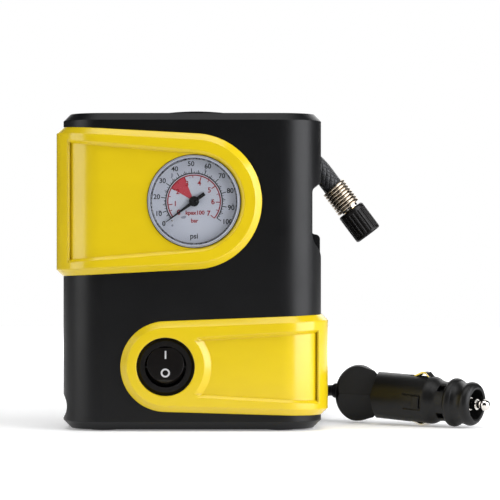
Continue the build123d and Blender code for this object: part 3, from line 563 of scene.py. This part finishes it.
def tube(name, frames, radius, around, gap, material):
    """A closed tube along carried frames, with its length in metres and its turn as UVs."""
    bm = bmesh.new()
    uv = bm.loops.layers.uv.new("UVMap")
    rings = []
    for point, side, up in frames:
        ring = []
        for number in range(around):
            angle = 2 * math.pi * number / around
            ring.append(bm.verts.new(point + radius * (side * math.cos(angle) + up * math.sin(angle))))
        rings.append(ring)
    for row, (near, far) in enumerate(zip(rings, rings[1:])):
        for number in range(around):
            after = (number + 1) % around
            face = bm.faces.new((near[number], near[after], far[after], far[number]))
            places = [(row, number), (row, number + 1), (row + 1, number + 1), (row + 1, number)]
            for loop, (u, v) in zip(face.loops, places):
                loop[uv].uv = (u * gap, v / around)
    bm.faces.new(list(reversed(rings[0])))
    bm.faces.new(rings[-1])
    return new_piece(name, bm, material)


def hose_and_spring(materials):
    path = spline_path("hose_line", hose_points())
    points, length = spaced(path, 0.001)
    frames = carried_frames(points, Vector((0, 1, 0)))
    gap = length / (len(points) - 1)
    hose = tube("hose_braided", frames, HOSE_D / 2, 48, gap, materials["hose_braid"])
    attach(hose, "housing")
    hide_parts("air_hose")
    coil = end_spring(points, length, spring_wire())


def end_spring(points, length, material):
    """Eight turns of wire round the last stretch of the hose."""
    past_end = 0.002
    first, last = length - 0.0104, length + 0.0015
    winding_r = HOSE_D / 2 + SPRING_WIRE_R + 0.00003
    fine, _ = spaced(points + [points[-1] + CHUCK_AXIS * past_end], 0.0001)
    line = carried_frames(fine, Vector((0, 1, 0)))
    places = []
    total = SPRING_TURNS * 40
    for number in range(total + 1):
        share = number / total
        reach = (first + (last - first) * share) / (length + past_end)
        point, side, up = line[round(reach * (len(line) - 1))]
        angle = 2 * math.pi * SPRING_TURNS * share
        places.append(point + winding_r * (side * math.cos(angle) + up * math.sin(angle)))
    frames = carried_frames(places, CHUCK_AXIS.copy())
    coil = tube("hose_end_spring", frames, SPRING_WIRE_R, 12, 0.0002, material)
    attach(coil, "housing")
    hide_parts("hose_spring")
    return coil


def power_cord(materials):
    points = cord_points()
    cord = spline_object("power_cord", points, CORD_D / 2)
    cord.data.materials.append(materials["cord_pvc"])
    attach(cord, "housing")
    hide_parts("cord_from_gland", "cord_coil", "cord_to_plug")


# ---------------------------------------------------------------- the dial's print


def dial_place(radius, degrees, lift):
    angle = math.radians(degrees)
    return Vector((GAUGE.x + radius * math.cos(angle), DIAL_Y - lift, GAUGE.z + radius * math.sin(angle)))


def add_arc(bm, inner, outer, start, end, lift):
    """A flat ring segment on the dial, between two angles in degrees."""
    count = max(2, int(abs(end - start) / 2))
    rows = []
    for number in range(count + 1):
        degrees = start + (end - start) * number / count
        rows.append((bm.verts.new(dial_place(inner, degrees, lift)),
                     bm.verts.new(dial_place(outer, degrees, lift))))
    for (a, b), (c, d) in zip(rows, rows[1:]):
        bm.faces.new((a, c, d, b))


def add_tick(bm, inner, outer, degrees, width, lift):
    middle_in, middle_out = dial_place(inner, degrees, lift), dial_place(outer, degrees, lift)
    across = (middle_out - middle_in).normalized().cross(Vector((0, 1, 0))) * width / 2
    bm.faces.new([bm.verts.new(place) for place in (middle_in - across, middle_in + across,
                                                    middle_out + across, middle_out - across)])


def add_text(bm, words, size, x, z, lift, bold=0.0):
    """Lettering laid flat on the dial, centred on a place."""
    data = bpy.data.curves.new("words", "FONT")
    data.body = words
    data.size = size
    data.align_x = "CENTER"
    data.align_y = "CENTER"
    data.offset = bold
    obj = bpy.data.objects.new("words", data)
    bpy.context.scene.collection.objects.link(obj)
    bpy.context.view_layer.update()
    mesh = bpy.data.meshes.new_from_object(obj)
    place = Matrix.Translation((x, DIAL_Y - lift, z)) @ Matrix.Rotation(math.radians(90), 4, "X")
    mesh.transform(place)
    bm.from_mesh(mesh)
    bpy.data.objects.remove(obj)
    bpy.data.meshes.remove(mesh)


def psi_angle(value):
    """Where a psi value lies; the first ten are closer together."""
    return 216.5 - 1.72 * value if value <= 10 else 199.3 - 2.615 * (value - 10)


def bar_angle(value):
    """Where a bar value lies; the first bar is closer together."""
    return 216.0 - 28.5 * value if value <= 1 else 187.5 - 37.87 * (value - 1)


def black_print(ink):
    """The psi scale: its ring, three lengths of tick, a number at each ten and the unit."""
    bm = bmesh.new()
    add_arc(bm, 0.01185, 0.01235, psi_angle(0), psi_angle(100), PRINT_LIFT)
    for value in range(0, 101, 2):
        add_tick(bm, 0.01215, 0.01295, psi_angle(value), 0.0002, PRINT_LIFT)
    for value in range(5, 100, 10):
        add_tick(bm, 0.01215, 0.01345, psi_angle(value), 0.00028, PRINT_LIFT)
    for value in range(0, 101, 10):
        add_tick(bm, 0.01195, 0.0142, psi_angle(value), 0.00036, PRINT_LIFT)
        reach, turned = (0.0167, 4.5) if value == 100 else (0.0161, 0)
        spot = dial_place(reach, psi_angle(value) + turned, 0)
        add_text(bm, str(value), 0.0029, spot.x, spot.z, PRINT_LIFT, 0.00006)
    add_text(bm, "psi", 0.0032, GAUGE.x, GAUGE.z - 0.0149, PRINT_LIFT, 0.00006)
    return new_piece("dial_black_print", bm, ink, smooth=False)


def red_print(ink):
    """The bar scale: its ring, a tick at each half, a number at each whole and the units."""
    bm = bmesh.new()
    add_arc(bm, 0.011, 0.0115, bar_angle(0), bar_angle(7), PRINT_LIFT)
    for number in range(0, 15):
        value = number / 2
        whole = number % 2 == 0
        inner, width = (0.0093, 0.0004) if whole else (0.0101, 0.0003)
        add_tick(bm, inner, 0.0112, bar_angle(value), width, PRINT_LIFT)
        if whole:
            spot = dial_place(0.0081, bar_angle(value), 0)
            add_text(bm, str(int(value)), 0.0031, spot.x, spot.z, 2 * PRINT_LIFT, 0.00006)
    add_text(bm, "kpax100", 0.0024, GAUGE.x + 0.0004, GAUGE.z - 0.0049, PRINT_LIFT, 0.00007)
    add_text(bm, "bar", 0.0024, GAUGE.x + 0.0002, GAUGE.z - 0.0083, PRINT_LIFT, 0.00006)
    return new_piece("dial_red_print", bm, ink, smooth=False)


def red_sector(ink):
    """The wash between 2 and 3 bar, under the red print."""
    bm = bmesh.new()
    add_arc(bm, 0.0018, 0.0114, bar_angle(2), bar_angle(3), PRINT_LIFT / 2)
    return new_piece("dial_red_sector", bm, ink, smooth=False)


def print_dial(materials):
    matt = (0.4, 0.55)
    black = surface("ink_black", (0.012, 0.012, 0.014), (0.02, 0.02, 0.023), 900, matt, 2500, 0.002)
    red = surface("ink_red", (0.30, 0.008, 0.014), (0.24, 0.005, 0.01), 900, matt, 2500, 0.002)
    wash = surface("ink_red_wash", (0.46, 0.05, 0.07), (0.42, 0.044, 0.062), 700, matt, 2500, 0.002)
    for piece in (black_print(black), red_print(red), red_sector(wash)):
        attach(piece, "housing")


# ---------------------------------------------------------------- the switch's marks


def rocker_place(x, z, lift):
    """A point on the dished face of the rocker, at rest."""
    depth = ROCKER_DISH_Y + math.sqrt(ROCKER_DISH_R ** 2 - z * z) - lift
    return SWITCH + Matrix.Rotation(ROCKER_TILT, 3, "X") @ Vector((x, depth, z))


def add_bar_mark(bm, half_width, bottom, height, lift):
    rows = 8
    for number in range(rows):
        low, high = (bottom + height * (number + k) / rows for k in (0, 1))
        corners = [(-half_width, low), (half_width, low), (half_width, high), (-half_width, high)]
        bm.faces.new([bm.verts.new(rocker_place(x, z, lift)) for x, z in corners])


def add_ring_mark(bm, inner, outer, centre_z, lift):
    around = 48
    ring = []
    for number in range(around):
        angle = 2 * math.pi * number / around
        x, z = math.cos(angle), math.sin(angle)
        ring.append([bm.verts.new(rocker_place(r * x, centre_z + r * z, lift)) for r in (inner, outer)])
    for number in range(around):
        (a, b), (c, d) = ring[number], ring[(number + 1) % around]
        bm.faces.new((a, c, d, b))


def switch_marks():
    """The I above the rocker's middle and the O below it, laid on its dished face."""
    ink = surface("mark_white", (0.56, 0.56, 0.57), (0.48, 0.48, 0.49), 900, (0.35, 0.5), 2500, 0.003)
    bm = bmesh.new()
    lift = 0.00005
    add_bar_mark(bm, 0.00033, 0.0023, 0.0034, lift)
    add_ring_mark(bm, 0.00125, 0.00195, -0.0039, lift)
    bmesh.ops.remove_doubles(bm, verts=bm.verts, dist=1e-7)
    marks = new_piece("rocker_marks", bm, ink, smooth=False)
    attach(marks, "rocker")


# ---------------------------------------------------------------- everything together


add_studio()
MATERIALS = make_materials()
paint_nodes(MATERIALS)
hose_and_spring(MATERIALS)
power_cord(MATERIALS)
print_dial(MATERIALS)
switch_marks()
